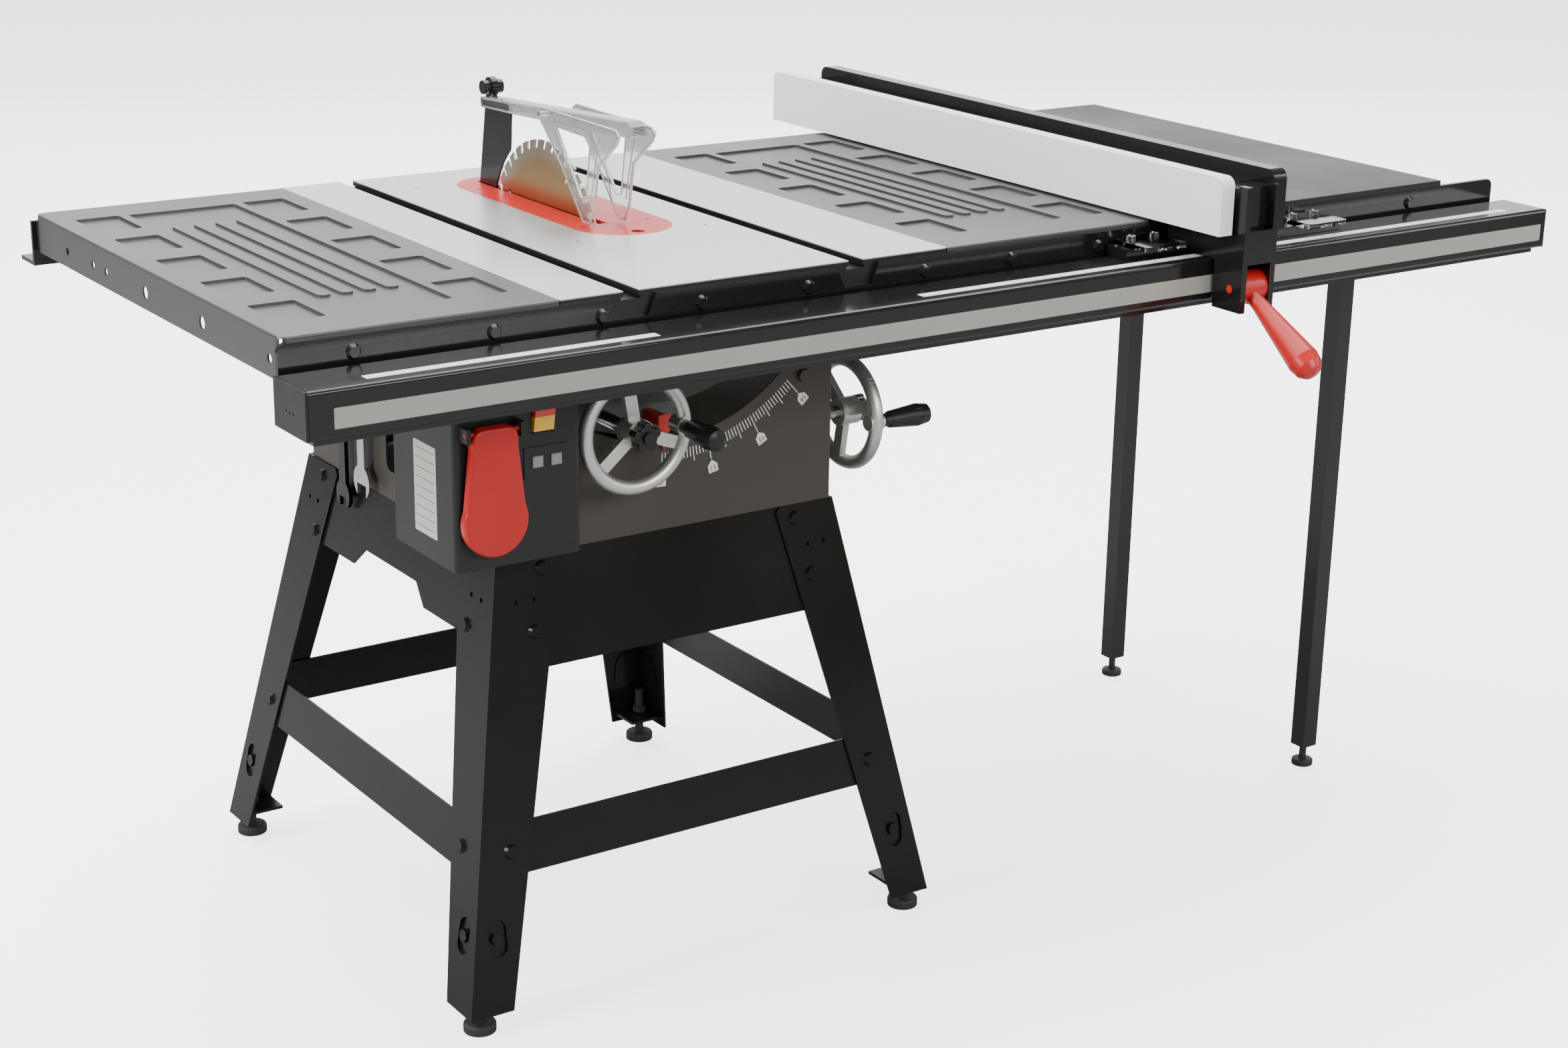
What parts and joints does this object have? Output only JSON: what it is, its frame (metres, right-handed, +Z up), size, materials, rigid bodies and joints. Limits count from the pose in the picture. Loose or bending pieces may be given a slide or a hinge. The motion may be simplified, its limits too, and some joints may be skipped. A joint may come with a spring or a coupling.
{
  "type": "table saw",
  "caption": "Contractor table saw on a splayed sheet-metal stand, with stamped wings, an extension table, a rip fence on a tube rail, blade guard and tilting blade.",
  "frame": {"origin": "centre of the outer box at floor height", "axes": "+Z up, +X to the operator's right along the rail, +Y away from the operator"},
  "size_m": [1.733, 1.039, 0.995],
  "materials": {
    "cast_iron": "ground top, satin",
    "wing_steel": "satin grey paint",
    "gloss_black": "gloss black",
    "cabinet_paint": "dark warm grey, satin",
    "black_plastic": "fine texture",
    "red_plastic": "gloss red",
    "red_paint": "satin red",
    "yellow_red": "red above, yellow below",
    "clear": "clear polycarbonate",
    "white_board": "smooth white",
    "laminate": "black laminate",
    "wheel": "satin cast",
    "steel": "machined",
    "zinc": "bright plated",
    "blade": "bright, gold tint",
    "rubber": "matte",
    "cast_grey": "painted casting",
    "motor_paint": "black enamel"
  },
  "bodies": {
    "base": {"table_casting": "cast_iron", "left_wing": "wing_steel", "right_wing": "wing_steel", "extension_top": "laminate", "extension_legs": "gloss_black", "front_angle": "gloss_black", "rail_tube": "gloss_black", "rail_end_caps": "black_plastic", "rail_bolts": "gloss_black", "rear_angle": "gloss_black", "cabinet_shell": "cabinet_paint", "switch_box": "black_plastic", "status_lenses": "black_plastic", "stand_panels": "gloss_black", "stand_legs_front": "gloss_black", "stand_legs_rear": "gloss_black", "stand_braces": "gloss_black", "stand_bolts": "gloss_black", "blade_wrenches": "zinc", "table_insert": "red_paint"},
    "cradle": {"front_trunnion": "cast_grey", "rear_trunnion": "cast_grey", "cradle_base": "cast_grey", "guide_rods": "steel", "tilt_pointer": "red_paint"},
    "carriage": {"arbor_block": "cast_grey", "arbor_bearings": "steel", "motor": "motor_paint", "motor_plate": "steel", "spreader": "gloss_black", "guard_bar": "clear", "drive_belt": "rubber"},
    "arbor": {"arbor_shaft": "steel", "saw_blade": "blade", "arbor_pulley": "steel", "arbor_nut": "steel"},
    "motor_rotor": {"motor_pulley": "steel"},
    "screw": {"elevation_screw": "steel"},
    "shield_right": {"guard_shield_right": "clear"},
    "shield_left": {"guard_shield_left": "clear"},
    "elev_wheel": {"elevation_wheel": "wheel", "elevation_knob": "black_plastic", "elevation_shaft": "steel"},
    "elev_crank": {"elevation_handle": "black_plastic"},
    "tilt_wheel_body": {"tilt_wheel": "wheel", "tilt_shaft": "steel"},
    "tilt_crank": {"tilt_handle": "black_plastic"},
    "fence": {"fence_body": "gloss_black", "fence_face_left": "white_board", "fence_head": "gloss_black", "fence_cursors": "clear"},
    "fence_lock": {"fence_lever": "red_plastic"},
    "stop_paddle": {"paddle": "red_plastic"},
    "rocker": {"power_toggle": "yellow_red"},
    "foot_fl": {"foot_front_left": "rubber"},
    "foot_fr": {"foot_front_right": "rubber"},
    "foot_rl": {"foot_rear_left": "rubber"},
    "foot_rr": {"foot_rear_right": "rubber"},
    "foot_ef": {"ext_foot_front": "rubber"},
    "foot_er": {"ext_foot_rear": "rubber"}
  },
  "joints": [
    {"name": "tilt", "type": "hinge", "parent": "base", "child": "cradle", "pos_m": [-0.3105, 0.0695, 0.86], "axis": [0, -1, 0], "range_deg": [0, 45]},
    {"name": "elevation", "type": "slide", "parent": "cradle", "child": "carriage", "axis": [0, 0, 1], "range_m": [-0.08, 0]},
    {"name": "arbor_spin", "type": "hinge", "parent": "carriage", "child": "arbor", "pos_m": [-0.3105, 0.1645, 0.81], "axis": [1, 0, 0], "continuous": true},
    {"name": "motor_spin", "type": "hinge", "parent": "carriage", "child": "motor_rotor", "pos_m": [-0.3805, 0.2095, 0.645], "axis": [1, 0, 0], "continuous": true},
    {"name": "screw_turn", "type": "hinge", "parent": "cradle", "child": "screw", "pos_m": [-0.39126, 0.0745, 0.67158], "axis": [0, 0, 1], "range_deg": [-1160, 5]},
    {"name": "elev_wheel_turn", "type": "hinge", "parent": "cradle", "child": "elev_wheel", "pos_m": [-0.39126, -0.1755, 0.67158], "axis": [0, -1, 0], "range_deg": [-1160, 5]},
    {"name": "elev_crank_spin", "type": "hinge", "parent": "elev_wheel", "child": "elev_crank", "pos_m": [-0.33226, -0.2205, 0.67158], "axis": [0, -1, 0], "continuous": true},
    {"name": "tilt_wheel_turn", "type": "hinge", "parent": "base", "child": "tilt_wheel_body", "pos_m": [-0.0325, -0.0755, 0.62], "axis": [1, 0, 0], "range_deg": [-5, 1810]},
    {"name": "tilt_crank_spin", "type": "hinge", "parent": "tilt_wheel_body", "child": "tilt_crank", "pos_m": [0.0095, -0.1345, 0.62], "axis": [1, 0, 0], "continuous": true},
    {"name": "shield_right_lift", "type": "hinge", "parent": "carriage", "child": "shield_right", "pos_m": [-0.3105, 0.1295, 0.976], "axis": [-1, 0, 0], "range_deg": [-1, 46]},
    {"name": "shield_left_lift", "type": "hinge", "parent": "shield_right", "child": "shield_left", "pos_m": [-0.334, 0.1295, 0.976], "axis": [-1, 0, 0], "range_deg": [-1, 17]},
    {"name": "fence_slide", "type": "slide", "parent": "base", "child": "fence", "axis": [1, 0, 0], "range_m": [-0.52, 0.33]},
    {"name": "fence_lock_turn", "type": "hinge", "parent": "fence", "child": "fence_lock", "pos_m": [0.3095, -0.3945, 0.798], "axis": [1, 0, 0], "range_deg": [-60, 0]},
    {"name": "paddle_press", "type": "hinge", "parent": "base", "child": "stop_paddle", "pos_m": [-0.5835, -0.2035, 0.708], "axis": [1, 0, 0], "range_deg": [0, 2.5], "stiffness_Nm_per_rad": 6},
    {"name": "power_rocker", "type": "hinge", "parent": "base", "child": "rocker", "pos_m": [-0.5175, -0.1885, 0.714], "axis": [1, 0, 0], "range_deg": [-8, 8]},
    {"name": "level_fl", "type": "slide", "parent": "base", "child": "foot_fl", "axis": [0, 0, 1], "range_m": [0, 0.012]},
    {"name": "level_fr", "type": "slide", "parent": "base", "child": "foot_fr", "axis": [0, 0, 1], "range_m": [0, 0.012]},
    {"name": "level_rl", "type": "slide", "parent": "base", "child": "foot_rl", "axis": [0, 0, 1], "range_m": [0, 0.012]},
    {"name": "level_rr", "type": "slide", "parent": "base", "child": "foot_rr", "axis": [0, 0, 1], "range_m": [0, 0.012]},
    {"name": "level_ef", "type": "slide", "parent": "base", "child": "foot_ef", "axis": [0, 0, 1], "range_m": [0, 0.012]},
    {"name": "level_er", "type": "slide", "parent": "base", "child": "foot_er", "axis": [0, 0, 1], "range_m": [0, 0.012]}
  ],
  "couplings": [
    {"joint": "screw_turn", "follows": "elevation", "rad_per_m": 251.33},
    {"joint": "elev_wheel_turn", "follows": "elevation", "rad_per_m": 251.33},
    {"joint": "shield_right_lift", "follows": "elevation", "rad_per_m": -9.8175},
    {"joint": "shield_left_lift", "follows": "tilt", "ratio": 0.3556},
    {"joint": "tilt_wheel_turn", "follows": "tilt", "ratio": 40},
    {"joint": "motor_spin", "follows": "arbor_spin", "ratio": 0.8387}
  ]
}
